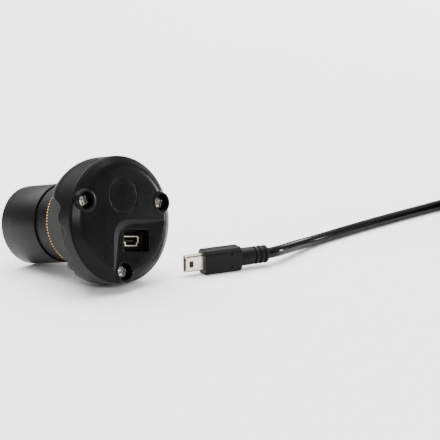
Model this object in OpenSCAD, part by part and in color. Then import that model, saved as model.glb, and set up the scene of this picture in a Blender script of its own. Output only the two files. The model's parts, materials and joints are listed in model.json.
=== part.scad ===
// Guide camera for a telescope: a short round camera body with a screw-in
// 1.25 inch nosepiece, lying on a table, and its detachable USB lead.
//
// Camera frame: y = 0 is the rim of the rear cover, +y runs along the optical
// axis to the nosepiece, x is to the right seen from the rear, z is up.
// lay() rolls and tilts that frame so that the camera lies on the table z = 0.
// The lead is drawn straight in the table's frame. All lengths are millimetres.

/* [Body] */
// Radius of the camera body
body_r = 25; // [24.8:0.1:25.4]
// Length of the straight part of the body, from the rear rim
straight_len = 14.5; // [13.5:0.5:15]
// Distance from the rear rim to the front face of the housing
housing_len = 24.5; // [24.5:0.1:24.7]
// Radius of the housing's front face
nose_face_r = 17.2; // [17:0.1:17.6]
// How far the camera has rolled about its own axis where it lies
roll = 10.8; // [0:0.2:20]

/* [Rear cover] */
// Radius of the raised plateau
plateau_r = 21.3; // [20.8:0.1:21.5]
// Height of the plateau's edge above the rim
plateau_h = 2.5; // [2.2:0.1:2.8]
// Height of the dome above the plateau's edge
dome_h = 0.5; // [0.2:0.1:0.8]
// Radius of the circle that the three cover screws lie on
screw_circle_r = 20.3; // [20.2:0.05:20.4]
// Radius of each screw well
well_r = 3.4; // [3.2:0.1:3.5]
// Width of the USB pocket
pocket_w = 12.8; // [12:0.1:13.2]
// Height of the USB pocket
pocket_h = 8.6; // [8.2:0.1:9]

/* [Nosepiece] */
// Radius of the barrel, 1.25 inch across
barrel_r = 15.875; // [15.85:0.005:15.9]
// Distance from the rear rim to the barrel's open end
barrel_end = 56.2; // [54:0.1:58]
// Radius of the filter thread in the barrel's mouth
filter_r = 14.25; // [14.2:0.01:14.3]
// Length of the filter thread
filter_len = 6; // [5:0.5:7]
// Radius of the threaded neck
neck_r = 12.62; // [12.61:0.01:12.66]

/* [Lead] */
// Diameter of the lead
cord_d = 4.5; // [4.2:0.1:4.6]
// Angle of the small plug on the table
plug_yaw = -18; // [-20:1:-16]
// Radius of the coil at the middle of its turns
coil_r = 25; // [24.5:0.5:25.5]

/* [Hidden] */
$fn = 96;
eps = 0.01;

// Rear cover
rim_h = 0.3;
rim_bevel = 0.3;
cover_inner_y = -0.8;
spigot_r = 22.3;
spigot_len = 2;
spigot_t = 1.1;
dome_steps = 6;
boss_r = 4.2;
boss_y = -2.7;
boss_lower_r = 3.9;
boss_end_y = 2.6;
well_floor_y = 0.9;
screw_angles = [20, 160, 270];
screw_hole_r = 1.7;
recess_corner = [-5.7, 0];
recess_corner_r = 3.5;
recess_floor_y = -1.8;
recess_slope = 2.2;
pocket_c = [6, -8.3];
pocket_round = 0.8;
pocket_floor_y = 1.9;
pocket_floor_t = 0.8;
pocket_wall = 1.2;

// Housing
gasket_t = 0.5;
gasket_in_r = 22.7;
gasket_out_r = 24.3;
wall = 2.5;
taper_y = 5.5;
cavity_front_r = 17.5;
front_wall_y = 18;
insert_seat_y = 20;
scoop_slope = 0.39;
scoop_angles = [149, 245];
scoop_step = 1.4;
well_notch_r = 4;
insert_boss_r = 3;
insert_boss_y = 3;
insert_boss_end_y = 7.6;
insert_y = 3.2;
insert_end_y = 7.2;
aperture_r = 9;
window_seat_r = 11;
window_seat_y = 18.8;
post_circle_r = 14;
post_r = 2.3;
post_angles = [90, 210, 330];

// Lens mount and nosepiece
insert_out_r = 16.5;
insert_end = 25.3;
knurl_r = 17.1;
thread_r = 12.7;
neck_y = 21.23;
washer_y = 25.4;
washer_end_y = 26.4;
washer_r = 14.6;
flange_y = 26.6;
flange_r = 15.2;
undercut_y = 33.9;
barrel_y = 34.5;
undercut_r = 14.9;
barrel_chamfer = 0.4;
neck_bore_r = 11;
barrel_bore_r = 13.5;
bore_step_y = 30;

// Boards
board_t = 1.6;
board_y = 8.6;
board_r = 19.6;
sensor_board_y = 13.8;
sensor_board_r = 16.5;
board_hole_r = 1.1;
socket_y = 1;
socket_w = 7.7;
socket_h = 3.95;
socket_t = 0.35;

// How the camera lies: on the front edge of its straight part and on the barrel's rim
tilt = atan((body_r - barrel_r) / (barrel_end - barrel_chamfer - straight_len));
lift = straight_len * sin(tilt) + body_r * cos(tilt);
rear_reach = boss_y * cos(tilt) - (screw_circle_r * cos(roll) + boss_r) * sin(tilt);
nose_reach = barrel_end * cos(tilt) + (barrel_r - barrel_chamfer) * sin(tilt);
mid_y = (rear_reach + nose_reach) / 2;

// Lead on the table
plug_tip = [28.8, -30.6, 5];
shell_len = 7.8;
overmold_len = 16.2;
overmold_t = 8;
overmold_w = 10;
boot_len = 12.4;
boot_r = 3.7;
cord_r = cord_d / 2;
tie_t = 0.6;
tie_w = 7;
tie_angle = 180;
coil_c = [206, -64.2];
coil_in_r = coil_r - 2 * cord_d;
coil_out_r = coil_r + 2 * cord_d;
coil_step_r = coil_r - cord_d;
run_route = [
    [63.4, -41.85, 5], [68.6, -42.2, 4.85], [75.8, -40.6, 4.35], [85.3, -38, 3.6], [95.3, -35.6, 2.75],
    [105, -34.1, 2.3], [120, -33, 2.25], [135, -32.2, 2.25], [150, -31.7, 2.25],
    [165, -31.4, 2.25], [180, -31.4, 2.3], [193, -31.8, 2.6], [206, -32.45, 2.85],
];
tail_route = [
    [230.3, -43.8, 11.85], [235.8, -53.3, 12.9], [237.7, -64.2, 15.4],
    [235.2, -73.7, 17.2], [228.2, -80.7, 18], [218.7, -83.2, 18.1],
];
a_plug_end = [218.7, -83.2, 18.1];
a_boot_len = 12;
a_overmold_len = 22;
a_shell_len = 18.5;
a_shell_w = 12;
a_shell_h = 4.5;

// Rolls and tilts the camera on to the table
module lay() {
    translate([0, -mid_y, lift])
        rotate([-tilt, 0, 0])
            rotate([0, roll, 0])
                children();
}

// A solid of revolution about the optical axis, from [radius, y] points
module turned(points) {
    rotate([90, 0, 0])
        mirror([0, 0, 1])
            rotate_extrude($fn = 180)
                polygon(points);
}

// A ring about the optical axis from y0 to y1
module ring(r_in, r_out, y0, y1) {
    turned([[r_in, y0], [r_out, y0], [r_out, y1], [r_in, y1]]);
}

// A disc or cylinder along the optical axis at [x, z]
module post(r, y0, y1, at = [0, 0]) {
    translate([at[0], y0, at[1]])
        rotate([-90, 0, 0])
            cylinder(r = r, h = y1 - y0);
}

// A block with its middle at [x, z]
module block(w, h, y0, y1, at = [0, 0]) {
    translate([at[0] - w / 2, y0, at[1] - h / 2])
        cube([w, y1 - y0, h]);
}

// A block with round edges along the optical axis
module round_block(w, h, r, y0, y1, at = [0, 0]) {
    block(w - 2 * r, h, y0, y1, at);
    block(w, h - 2 * r, y0, y1, at);
    for (sx = [-1, 1])
        for (sz = [-1, 1])
            post(r, y0, y1, at + [sx * (w / 2 - r), sz * (h / 2 - r)]);
}

// Copies a child to each angle on a circle about the optical axis
module around(angles, r) {
    for (a = angles)
        translate([r * cos(a), 0, r * sin(a)])
            children();
}

// Outer line of the domed plateau, from the middle to its edge
function dome_line() = [
    for (i = [0:dome_steps])
        let (r = plateau_r * i / dome_steps)
            [r, -plateau_h - dome_h * (1 - pow(r / plateau_r, 2))]
];

// The sunken quadrant: a tilted floor bounded by an L with a round corner
module recess_cut() {
    span = 2 * plateau_r;
    intersection() {
        union() {
            block(span, span, -6, 0, recess_corner + [span / 2, -span / 2 - recess_corner_r]);
            block(span, span, -6, 0, recess_corner + [span / 2 + recess_corner_r, -span / 2]);
            post(recess_corner_r, -6, 0, recess_corner + [recess_corner_r, -recess_corner_r]);
        }
        translate([recess_corner[0], recess_floor_y, recess_corner[1]])
            rotate(a = -recess_slope, v = [1, 0, 1])
                translate([-span, -6, -2 * span])
                    cube([3 * span, 6, 3 * span]);
        post(plateau_r, -6, 0);
    }
}

module rear_cover() {
    color([0.10, 0.10, 0.105])
        lay()
            difference() {
                union() {
                    difference() {
                        turned(concat(dome_line(), [
                            [body_r - rim_bevel, -rim_h],
                            [body_r, 0],
                            [spigot_r, 0],
                            [spigot_r, spigot_len],
                            [spigot_r - spigot_t, spigot_len],
                            [spigot_r - spigot_t, cover_inner_y],
                            [0, cover_inner_y],
                        ]));
                        recess_cut();
                    }
                    around(screw_angles, screw_circle_r) {
                        post(boss_r, boss_y, -rim_h);
                        post(boss_lower_r, -rim_h, boss_end_y);
                    }
                    round_block(pocket_w + 2 * pocket_wall, pocket_h + 2 * pocket_wall, 1.5,
                        cover_inner_y - eps, pocket_floor_y + pocket_floor_t, pocket_c);
                }
                around(screw_angles, screw_circle_r) {
                    post(well_r, boss_y - 1, well_floor_y);
                    post(screw_hole_r, 0, boss_end_y + 1);
                }
                round_block(pocket_w, pocket_h, pocket_round, -6, pocket_floor_y, pocket_c);
                block(socket_w + 0.6, socket_h + 0.6, 0, pocket_floor_y + pocket_floor_t + 1, pocket_c);
            }
}

module housing_gasket() {
    color([0.05, 0.05, 0.05])
        lay()
            difference() {
                ring(gasket_in_r, gasket_out_r, 0, gasket_t);
                around(screw_angles, screw_circle_r)
                    post(well_notch_r, -1, gasket_t + 1);
            }
}

// The finger scoop's floor: a cone from the nose, and a step down from the band where it starts
function scoop_r(y) = nose_face_r + (housing_len - y) * scoop_slope;
scoop_start_y = housing_len - (body_r - nose_face_r) / scoop_slope;
scoop_step_y = scoop_start_y + scoop_step / scoop_slope;

// One finger scoop, as the wedge of material it removes
module scoop_cut(from, to) {
    over = 2;
    rotate([90, 0, 0])
        mirror([0, 0, 1])
            rotate([0, 0, from])
                rotate_extrude(angle = to - from, $fn = 180)
                    polygon([
                        [scoop_r(housing_len + over), housing_len + over],
                        [body_r + over, housing_len + over],
                        [body_r + over, scoop_start_y],
                        [body_r - scoop_step, scoop_start_y],
                        [body_r - scoop_step, scoop_step_y],
                    ]);
}

module front_housing() {
    color([0.22, 0.22, 0.215])
        lay()
            difference() {
                union() {
                    turned([
                        [body_r, gasket_t],
                        [body_r, straight_len],
                        [nose_face_r, housing_len],
                        [insert_out_r + 0.02, housing_len],
                        [insert_out_r + 0.02, insert_seat_y],
                        [window_seat_r, insert_seat_y],
                        [window_seat_r, window_seat_y],
                        [aperture_r, window_seat_y],
                        [aperture_r, front_wall_y],
                        [cavity_front_r, front_wall_y],
                        [body_r - wall, taper_y],
                        [body_r - wall, gasket_t],
                    ]);
                    around(screw_angles, screw_circle_r)
                        post(insert_boss_r, insert_boss_y, insert_boss_end_y);
                    around(post_angles, post_circle_r)
                        post(post_r, sensor_board_y + board_t, front_wall_y + eps);
                }
                scoop_cut(scoop_angles[0], scoop_angles[1]);
                scoop_cut(180 - scoop_angles[1], 180 - scoop_angles[0]);
                around(screw_angles, screw_circle_r) {
                    post(well_notch_r, -1, insert_boss_y);
                    post(2.1, insert_boss_y - 1, insert_end_y);
                }
                around(post_angles, post_circle_r)
                    post(1.05, 10, front_wall_y + 0.6);
            }
}

// A pan-head screw with a cross recess, its head's seat at y and its tip at tip_y
module pan_screw(head_r, head_h, shank_r, y, tip_y) {
    difference() {
        union() {
            post(head_r, y - 0.6 * head_h, y);
            turned([[0, y - head_h], [0.55 * head_r, y - head_h], [head_r, y - 0.6 * head_h], [0, y - 0.6 * head_h]]);
            post(shank_r, y - eps, tip_y);
        }
        block(1.25 * head_r, 0.26 * head_r, y - head_h - 1, y - 0.35 * head_h);
        block(0.26 * head_r, 1.25 * head_r, y - head_h - 1, y - 0.35 * head_h);
    }
}

module cover_screws() {
    color([0.80, 0.80, 0.78])
        lay()
            around(screw_angles, screw_circle_r)
                pan_screw(2.6, 1.9, 1.45, well_floor_y, insert_end_y - 0.6);
}

module screw_inserts() {
    color([0.78, 0.62, 0.32])
        lay()
            around(screw_angles, screw_circle_r)
                ring(1.5, 2.1, insert_y, insert_end_y);
}

// Knurled brass ring moulded into the housing's front, with the lens-mount thread
module mount_insert() {
    color([0.80, 0.66, 0.38])
        lay()
            turned([
                [thread_r, insert_seat_y],
                [insert_out_r, insert_seat_y],
                [insert_out_r, housing_len + 0.02],
                [knurl_r, housing_len + 0.02],
                [knurl_r, insert_end - 0.2],
                [knurl_r - 0.2, insert_end],
                [thread_r, insert_end],
            ]);
}

module nosepiece_washer() {
    color([0.06, 0.06, 0.06])
        lay()
            ring(neck_r + 0.2, washer_r, washer_y, washer_end_y);
}

module nosepiece_barrel() {
    color([0.12, 0.12, 0.125])
        lay()
            turned([
                [neck_bore_r, neck_y],
                [neck_r, neck_y],
                [neck_r, flange_y],
                [flange_r, flange_y],
                [flange_r, undercut_y],
                [undercut_r, undercut_y],
                [undercut_r, barrel_y],
                [barrel_r, barrel_y],
                [barrel_r, barrel_end - barrel_chamfer],
                [barrel_r - barrel_chamfer, barrel_end],
                [filter_r, barrel_end],
                [filter_r, barrel_end - filter_len],
                [barrel_bore_r, barrel_end - filter_len],
                [barrel_bore_r, bore_step_y],
                [neck_bore_r, bore_step_y],
            ]);
}

module window_seal() {
    color([0.05, 0.05, 0.05])
        lay()
            ring(9.3, 10.8, window_seat_y, window_seat_y + 0.4);
}

module window_glass() {
    color([0.75, 0.85, 0.85, 0.4])
        lay()
            post(10.8, window_seat_y + 0.4, window_seat_y + 1.5);
}

module window_retainer() {
    color([0.10, 0.10, 0.10])
        lay()
            ring(9.8, 12.6, window_seat_y + 1.5, window_seat_y + 2.3);
}

// Black cap over the sensor, with a rectangular window
module sensor_baffle() {
    y0 = sensor_board_y + board_t;
    y1 = front_wall_y + 0.1;
    color([0.04, 0.04, 0.04])
        lay()
            difference() {
                post(8.7, y0, y1);
                post(7.8, y0 - 1, y1 - 0.6);
                block(6.8, 5.2, y0, y1 + 1);
            }
}

module image_sensor() {
    color([0.30, 0.22, 0.18])
        lay()
            block(10, 10, sensor_board_y + board_t, sensor_board_y + board_t + 1.4);
}

module sensor_glass() {
    color([0.70, 0.80, 0.85, 0.5])
        lay()
            block(8.4, 8.4, sensor_board_y + board_t + 1.4, sensor_board_y + board_t + 1.9);
}

module sensor_board() {
    color([0.05, 0.30, 0.14])
        lay()
            difference() {
                post(sensor_board_r, sensor_board_y, sensor_board_y + board_t);
                around(post_angles, post_circle_r)
                    post(board_hole_r, 0, 20);
            }
}

module board_spacers() {
    color([0.80, 0.66, 0.38])
        lay()
            around(post_angles, post_circle_r)
                ring(board_hole_r, 2.3, board_y + board_t, sensor_board_y);
}

module board_connector() {
    color([0.85, 0.83, 0.75])
        lay()
            block(12, 4, board_y + board_t, sensor_board_y, [0, -13]);
}

module board_screws() {
    color([0.75, 0.75, 0.75])
        lay()
            around(post_angles, post_circle_r)
                pan_screw(1.9, 1.3, 1, board_y, front_wall_y + 0.3);
}

module interface_board() {
    color([0.05, 0.30, 0.14])
        lay()
            difference() {
                post(board_r, board_y, board_y + board_t);
                around(screw_angles, screw_circle_r)
                    post(insert_boss_r + 0.6, 0, 20);
                around(post_angles, post_circle_r)
                    post(board_hole_r, 0, 20);
            }
}

module controller_chip() {
    color([0.08, 0.08, 0.08])
        lay()
            block(9, 9, board_y - 1.4, board_y, [-5.6, 1]);
}

module memory_chip() {
    color([0.08, 0.08, 0.08])
        lay()
            block(7, 5, board_y - 1, board_y, [-6, 10.5]);
}

module crystal_oscillator() {
    color([0.80, 0.80, 0.80])
        lay()
            round_block(5, 3.2, 0.8, board_y - 1.2, board_y, [7, 5]);
}

module board_capacitors() {
    count = 4;
    color([0.60, 0.50, 0.36])
        lay()
            for (i = [0:count - 1]) {
                block(1, 1.8, board_y - 0.8, board_y, [4 + 2.2 * i, 10]);
                block(1, 1.8, board_y - 0.8, board_y, [-14 + 2.2 * i, -12]);
            }
}

// Mini-B outline in x and z: wide side up, shoulders to a narrower lower side
function mini_outline(w, h) = [
    [-w / 2, h / 2], [w / 2, h / 2], [w / 2, -0.05 * h],
    [0.4 * w, -0.25 * h], [0.4 * w, -h / 2], [-0.4 * w, -h / 2],
    [-0.4 * w, -0.25 * h], [-w / 2, -0.05 * h],
];

// A prism of the mini-B outline along y
module mini_prism(w, h, y0, y1) {
    translate([0, y1, 0])
        rotate([90, 0, 0])
            linear_extrude(height = y1 - y0)
                polygon(mini_outline(w, h));
}

module usb_socket_shell() {
    at = [pocket_c[0], 0, pocket_c[1]];
    color([0.82, 0.78, 0.70])
        lay()
            translate(at)
                difference() {
                    mini_prism(socket_w, socket_h, socket_y, board_y);
                    mini_prism(socket_w - 2 * socket_t, socket_h - 2 * socket_t, socket_y - 1, board_y - 0.4);
                }
}

module usb_socket_insulator() {
    at = [pocket_c[0], 0, pocket_c[1]];
    color([0.05, 0.05, 0.05])
        lay()
            translate(at) {
                block(4.2, 0.7, socket_y + 0.8, board_y - 0.4);
                block(5.2, 2.4, board_y - 1.4, board_y - 0.4, [0, 0.1]);
            }
}

module usb_socket_contacts() {
    at = [pocket_c[0], 0, pocket_c[1]];
    color([0.85, 0.70, 0.35])
        lay()
            translate(at)
                for (i = [-2:2])
                    block(0.3, 0.15, socket_y + 1.2, board_y - 1.4, [0.8 * i, 0.425]);
}

// Places the small plug: +x from its tip to its cord, wide side upright
module small_plug() {
    translate(plug_tip)
        rotate([0, 0, plug_yaw])
            children();
}

// The mini-B outline standing on its narrow edge, from x0 to x1
module mini_upright(w, h, x0, x1) {
    translate([x0, 0, 0])
        rotate([0, 0, -90])
            rotate([0, 90, 0])
                mini_prism(w, h, 0, x1 - x0);
}

// A bar along x with chamfered long edges: size in y and z, chamfer c
module bar(x0, x1, w, h, c) {
    translate([x0, 0, 0])
        rotate([90, 0, 90])
            linear_extrude(height = x1 - x0)
                polygon([
                    [-w / 2 + c, -h / 2], [w / 2 - c, -h / 2], [w / 2, -h / 2 + c], [w / 2, h / 2 - c],
                    [w / 2 - c, h / 2], [-w / 2 + c, h / 2], [-w / 2, h / 2 - c], [-w / 2, -h / 2 + c],
                ]);
}

// A rod along x
module rod(x0, x1, r) {
    translate([x0, 0, 0])
        rotate([0, 90, 0])
            cylinder(r = r, h = x1 - x0);
}

module mini_plug_shell() {
    color([0.80, 0.77, 0.70])
        small_plug()
            difference() {
                mini_upright(6.8, 3, 0, shell_len + 2);
                mini_upright(6.2, 2.4, -1, shell_len + 1.4);
                translate([1.5, -2, -1.3])
                    cube([1.8, 1, 2.6]);
            }
}

module mini_plug_insulator() {
    color([0.05, 0.05, 0.05])
        small_plug()
            difference() {
                mini_upright(6.1, 2.3, 0.6, shell_len + 1.3);
                translate([0, -0.5, -2.2])
                    cube([shell_len - 2, 0.9, 4.4]);
            }
}

module mini_plug_contacts() {
    color([0.85, 0.70, 0.35])
        small_plug()
            for (i = [-2:2])
                translate([1, -0.49, 0.8 * i - 0.15])
                    cube([shell_len - 3.1, 0.15, 0.3]);
}

module mini_plug_overmold() {
    end = shell_len + overmold_len;
    color([0.08, 0.085, 0.09])
        small_plug()
            difference() {
                bar(shell_len, end, overmold_t, overmold_w, 1);
                mini_upright(6.8, 3, shell_len - 1, shell_len + 2);
            }
}

module mini_plug_boot() {
    start = shell_len + overmold_len;
    groove_t = 1;
    color([0.08, 0.085, 0.09])
        small_plug()
            difference() {
                rod(start, start + boot_len, boot_r);
                for (x = [5.9, 8.1, 10.3])
                    difference() {
                        rod(start + x, start + x + groove_t, boot_r + 1);
                        rod(start + x - 1, start + x + groove_t + 1, boot_r - 0.75);
                    }
            }
}

// Catmull-Rom point between p1 and p2 at u from 0 to 1
function between(p0, p1, p2, p3, u) =
    0.5 * (2 * p1 + (p2 - p0) * u + (2 * p0 - 5 * p1 + 4 * p2 - p3) * u * u
        + (3 * p1 - p0 - 3 * p2 + p3) * u * u * u);

// A route's points with extra ones between them
function smooth_route(p, steps) = concat([
    for (i = [0:len(p) - 2])
        for (s = [0:steps - 1])
            let (before = i == 0 ? 2 * p[0] - p[1] : p[i - 1])
            let (after = i == len(p) - 2 ? 2 * p[i + 1] - p[i] : p[i + 2])
                between(before, p[i], p[i + 1], after, s / steps)
], [p[len(p) - 1]]);

function unit(v) = v / norm(v);

// Direction of travel at point i
function heading(p, i) = unit(p[min(i + 1, len(p) - 1)] - p[max(i - 1, 0)]);

// A round tube swept along points, with flat ends
module tube(p, r, sides = 8) {
    n = len(p);
    rings = [
        for (i = [0:n - 1])
            let (t = heading(p, i))
            let (side = unit(cross([0, 0, 1], t)))
            let (up = cross(t, side))
                for (k = [0:sides - 1])
                    p[i] + r * (cos(360 * k / sides) * side + sin(360 * k / sides) * up)
    ];
    walls = [
        for (i = [0:n - 2])
            for (k = [0:sides - 1])
                let (j = (k + 1) % sides)
                    [i * sides + j, i * sides + k, (i + 1) * sides + k, (i + 1) * sides + j]
    ];
    ends = [
        [for (k = [0:sides - 1]) k],
        [for (k = [0:sides - 1]) (n - 1) * sides + sides - 1 - k],
    ];
    polyhedron(points = rings, faces = concat(walls, ends), convexity = 4);
}

module lead_run() {
    color([0.07, 0.08, 0.09])
        tube(smooth_route(run_route, 2), cord_r);
}

module lead_tail() {
    color([0.07, 0.08, 0.09])
        tube(smooth_route(tail_route, 2), cord_r);
}

// A strap round the coil's section, on the side nearest the camera
module tie_loop() {
    low = coil_in_r - tie_t;
    high = coil_out_r + tie_t;
    step = tie_t + 2 * cord_d;
    top = tie_t + 3 * cord_d + tie_t;
    translate([coil_c[0], coil_c[1], 0])
        rotate([0, 0, tie_angle])
            translate([0, tie_w / 2, 0])
                rotate([90, 0, 0])
                    linear_extrude(height = tie_w)
                        polygon([
                            [low, 0], [high, 0], [high, top], [coil_step_r - tie_t, top],
                            [coil_step_r - tie_t, step + tie_t], [low, step + tie_t],
                        ]);
}

// Outer shape of the wound turns: two full layers and a third over the outer three columns
module coil_body() {
    translate([coil_c[0], coil_c[1], 0])
        rotate_extrude($fn = 120)
            polygon([
                [coil_in_r, 0], [coil_out_r, 0], [coil_out_r, tie_t + 3 * cord_d],
                [coil_step_r, tie_t + 3 * cord_d], [coil_step_r, tie_t + 2 * cord_d],
                [coil_in_r, tie_t + 2 * cord_d],
            ]);
}

// The wound turns, lifted off the table where the strap passes under them
module coil_core() {
    difference() {
        coil_body();
        translate([coil_c[0], coil_c[1], -1])
            rotate([0, 0, tie_angle])
                translate([0, -tie_w / 2, 0])
                    cube([2 * coil_out_r, tie_w, 1 + tie_t]);
    }
}

module lead_coil() {
    color([0.07, 0.08, 0.09])
        coil_core();
}

module lead_tie() {
    color([0.12, 0.12, 0.12])
        difference() {
            tie_loop();
            coil_core();
        }
}

// Places the large plug: +x from its cord to its open end, lying on the coil
module large_plug() {
    translate(a_plug_end)
        rotate([0, 0, 180])
            children();
}

module usb_a_boot() {
    groove_t = 1;
    color([0.08, 0.085, 0.09])
        large_plug()
            difference() {
                rod(0, a_boot_len, 3.4);
                for (x = [1.6, 3.9, 6.2])
                    difference() {
                        rod(x, x + groove_t, 5);
                        rod(x - 1, x + groove_t + 1, 2.7);
                    }
            }
}

module usb_a_overmold() {
    color([0.08, 0.085, 0.09])
        large_plug()
            difference() {
                bar(a_boot_len, a_boot_len + a_overmold_len, 15.6, 8, 1);
                bar(a_boot_len + a_overmold_len - 3, a_boot_len + a_overmold_len + 1, a_shell_w, a_shell_h, 0.3);
            }
}

module usb_a_shell() {
    start = a_boot_len + a_overmold_len - 3;
    color([0.80, 0.77, 0.70])
        large_plug()
            difference() {
                bar(start, start + a_shell_len + 3, a_shell_w, a_shell_h, 0.3);
                bar(start + 1, start + a_shell_len + 4, a_shell_w - 0.6, a_shell_h - 0.6, 0.2);
                for (y = [-4.2, 1.7])
                    translate([start + 3 + 5.5, y, 1])
                        cube([2.5, 2.5, 3]);
            }
}

module usb_a_insulator() {
    start = a_boot_len + a_overmold_len - 2;
    color([0.90, 0.90, 0.88])
        large_plug()
            translate([start, 0, -a_shell_h / 2 + 1.3])
                bar(0, a_shell_len + 1.6, 11.2, 1.9, 0.1);
}

module usb_a_contacts() {
    start = a_boot_len + a_overmold_len - 2;
    color([0.85, 0.70, 0.35])
        large_plug()
            for (y = [-3.5, -1, 1, 3.5])
                translate([start + 8, y - 0.5, -a_shell_h / 2 + 2.26])
                    cube([a_shell_len - 7.5, 1, 0.15]);
}

rear_cover();
housing_gasket();
front_housing();
cover_screws();
screw_inserts();
mount_insert();
nosepiece_washer();
nosepiece_barrel();
window_seal();
window_glass();
window_retainer();
sensor_baffle();
image_sensor();
sensor_glass();
sensor_board();
board_spacers();
board_connector();
board_screws();
interface_board();
controller_chip();
memory_chip();
crystal_oscillator();
board_capacitors();
usb_socket_shell();
usb_socket_insulator();
usb_socket_contacts();
mini_plug_shell();
mini_plug_insulator();
mini_plug_contacts();
mini_plug_overmold();
mini_plug_boot();
lead_run();
lead_coil();
lead_tie();
lead_tail();
usb_a_boot();
usb_a_overmold();
usb_a_shell();
usb_a_insulator();
usb_a_contacts();
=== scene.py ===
"""Looks of the guide camera and its USB lead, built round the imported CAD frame.

Shapes are worked out in millimetres and made in metres. The camera's pieces are built in its own
frame (y along the optical axis from the rear rim, z up, x right) and laid on the table by BODY.
"""
import json
import math
import bpy
import numpy as np
from mathutils import Matrix, Vector

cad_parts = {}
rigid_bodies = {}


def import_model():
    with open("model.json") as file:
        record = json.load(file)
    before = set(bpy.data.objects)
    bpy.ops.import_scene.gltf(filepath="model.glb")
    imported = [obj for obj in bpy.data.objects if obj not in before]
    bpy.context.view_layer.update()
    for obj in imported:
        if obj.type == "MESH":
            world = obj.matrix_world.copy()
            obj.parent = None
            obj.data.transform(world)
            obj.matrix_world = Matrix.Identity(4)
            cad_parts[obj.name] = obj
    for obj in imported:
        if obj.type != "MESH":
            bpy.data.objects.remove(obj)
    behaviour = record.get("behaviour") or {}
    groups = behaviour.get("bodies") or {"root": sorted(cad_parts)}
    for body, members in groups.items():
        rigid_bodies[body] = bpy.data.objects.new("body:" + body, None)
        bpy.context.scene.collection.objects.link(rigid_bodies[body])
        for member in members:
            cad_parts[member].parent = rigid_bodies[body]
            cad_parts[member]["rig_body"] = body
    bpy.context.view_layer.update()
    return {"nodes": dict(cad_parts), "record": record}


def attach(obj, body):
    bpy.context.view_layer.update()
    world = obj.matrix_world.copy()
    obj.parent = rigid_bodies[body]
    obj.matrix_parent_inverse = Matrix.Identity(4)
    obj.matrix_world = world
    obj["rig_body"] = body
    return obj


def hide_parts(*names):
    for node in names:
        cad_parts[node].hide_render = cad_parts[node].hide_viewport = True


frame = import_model()
MM = 0.001
MOUNTS = {m["name"]: m for m in frame["record"]["mounts"]}

# Where the record's mounts lie in the camera's own frame
NOSE_MOUNT_Y = 45
POCKET = (6, -8.3)


# ---------------------------------------------------------------- frames

def camera_frame():
    """Matrix of the camera's own frame, from the nosepiece's axis and the USB socket's place."""
    nose = MOUNTS["nosepiece"]
    axis = Vector(nose["axis"]).normalized()
    rim = Vector(nose["pos_m"]) - axis * NOSE_MOUNT_Y * MM
    to_socket = Vector(MOUNTS["usb_socket"]["pos_m"]) - rim
    level = Vector((1, 0, 0))
    upward = level.cross(axis)
    laid = math.atan2(to_socket.dot(upward), to_socket.dot(level))
    roll = math.atan2(POCKET[1], POCKET[0]) - laid
    right = level * math.cos(roll) - upward * math.sin(roll)
    m = Matrix((right, axis, right.cross(axis))).transposed().to_4x4()
    m.translation = rim
    return m


BODY = camera_frame()
PLUG_YAW = -18
PLUG_TIP = (28.8, -30.6, 5)
# The small plug's frame: x from its tip to its cord, z up
PLUG = Matrix.Translation(Vector(PLUG_TIP) * MM) @ Matrix.Rotation(math.radians(PLUG_YAW), 4, "Z")
# The large plug's frame: x from its cord to its open end
LARGE_END = (218.7, -83.2, 18.1)
LARGE = Matrix.Translation(Vector(LARGE_END) * MM) @ Matrix.Rotation(math.pi, 4, "Z")


VIEW_AZIMUTH, VIEW_ELEVATION = math.radians(-44.277), math.radians(14.287)
VIEW_DISTANCE, VIEW_LENS = 0.8, 163.3
# Where the view is aimed, across and up from the origin in the camera's own directions
AIM_ACROSS, AIM_UP = 0.05616, 0.02205


def aim_camera():
    """A long lens at the photograph's angle, aimed beside the body so that the lead is in view."""
    azimuth, elevation = VIEW_AZIMUTH, VIEW_ELEVATION
    right = Vector((math.cos(azimuth), math.sin(azimuth), 0))
    back = Vector((math.sin(azimuth) * math.cos(elevation),
                   -math.cos(azimuth) * math.cos(elevation),
                   math.sin(elevation)))
    up = back.cross(right)
    target = right * AIM_ACROSS + up * AIM_UP
    data = bpy.data.cameras.new("view_camera")
    data.sensor_width = 36
    data.lens = VIEW_LENS
    data.clip_start = 0.01
    data.clip_end = 20
    camera = bpy.data.objects.new("view_camera", data)
    camera.rotation_mode = "QUATERNION"
    camera.rotation_quaternion = (-back).to_track_quat("-Z", "Y")
    camera.location = target + back * VIEW_DISTANCE
    bpy.context.scene.collection.objects.link(camera)
    bpy.context.scene.camera = camera


aim_camera()


# ---------------------------------------------------------------- mesh tools

def new_piece(name, verts, faces, place, body, nodes, material):
    """A smooth-shaded mesh piece from points in millimetres, riding on a body in place of CAD nodes."""
    mesh = bpy.data.meshes.new(name)
    mesh.from_pydata((np.asarray(verts) * MM).tolist(), [], faces)
    mesh.validate()
    mesh.shade_smooth()
    piece = bpy.data.objects.new(name, mesh)
    bpy.context.scene.collection.objects.link(piece)
    piece.matrix_world = place
    bpy.context.view_layer.update()
    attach(piece, body)
    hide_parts(*nodes)
    mesh.materials.append(material)
    return piece


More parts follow.
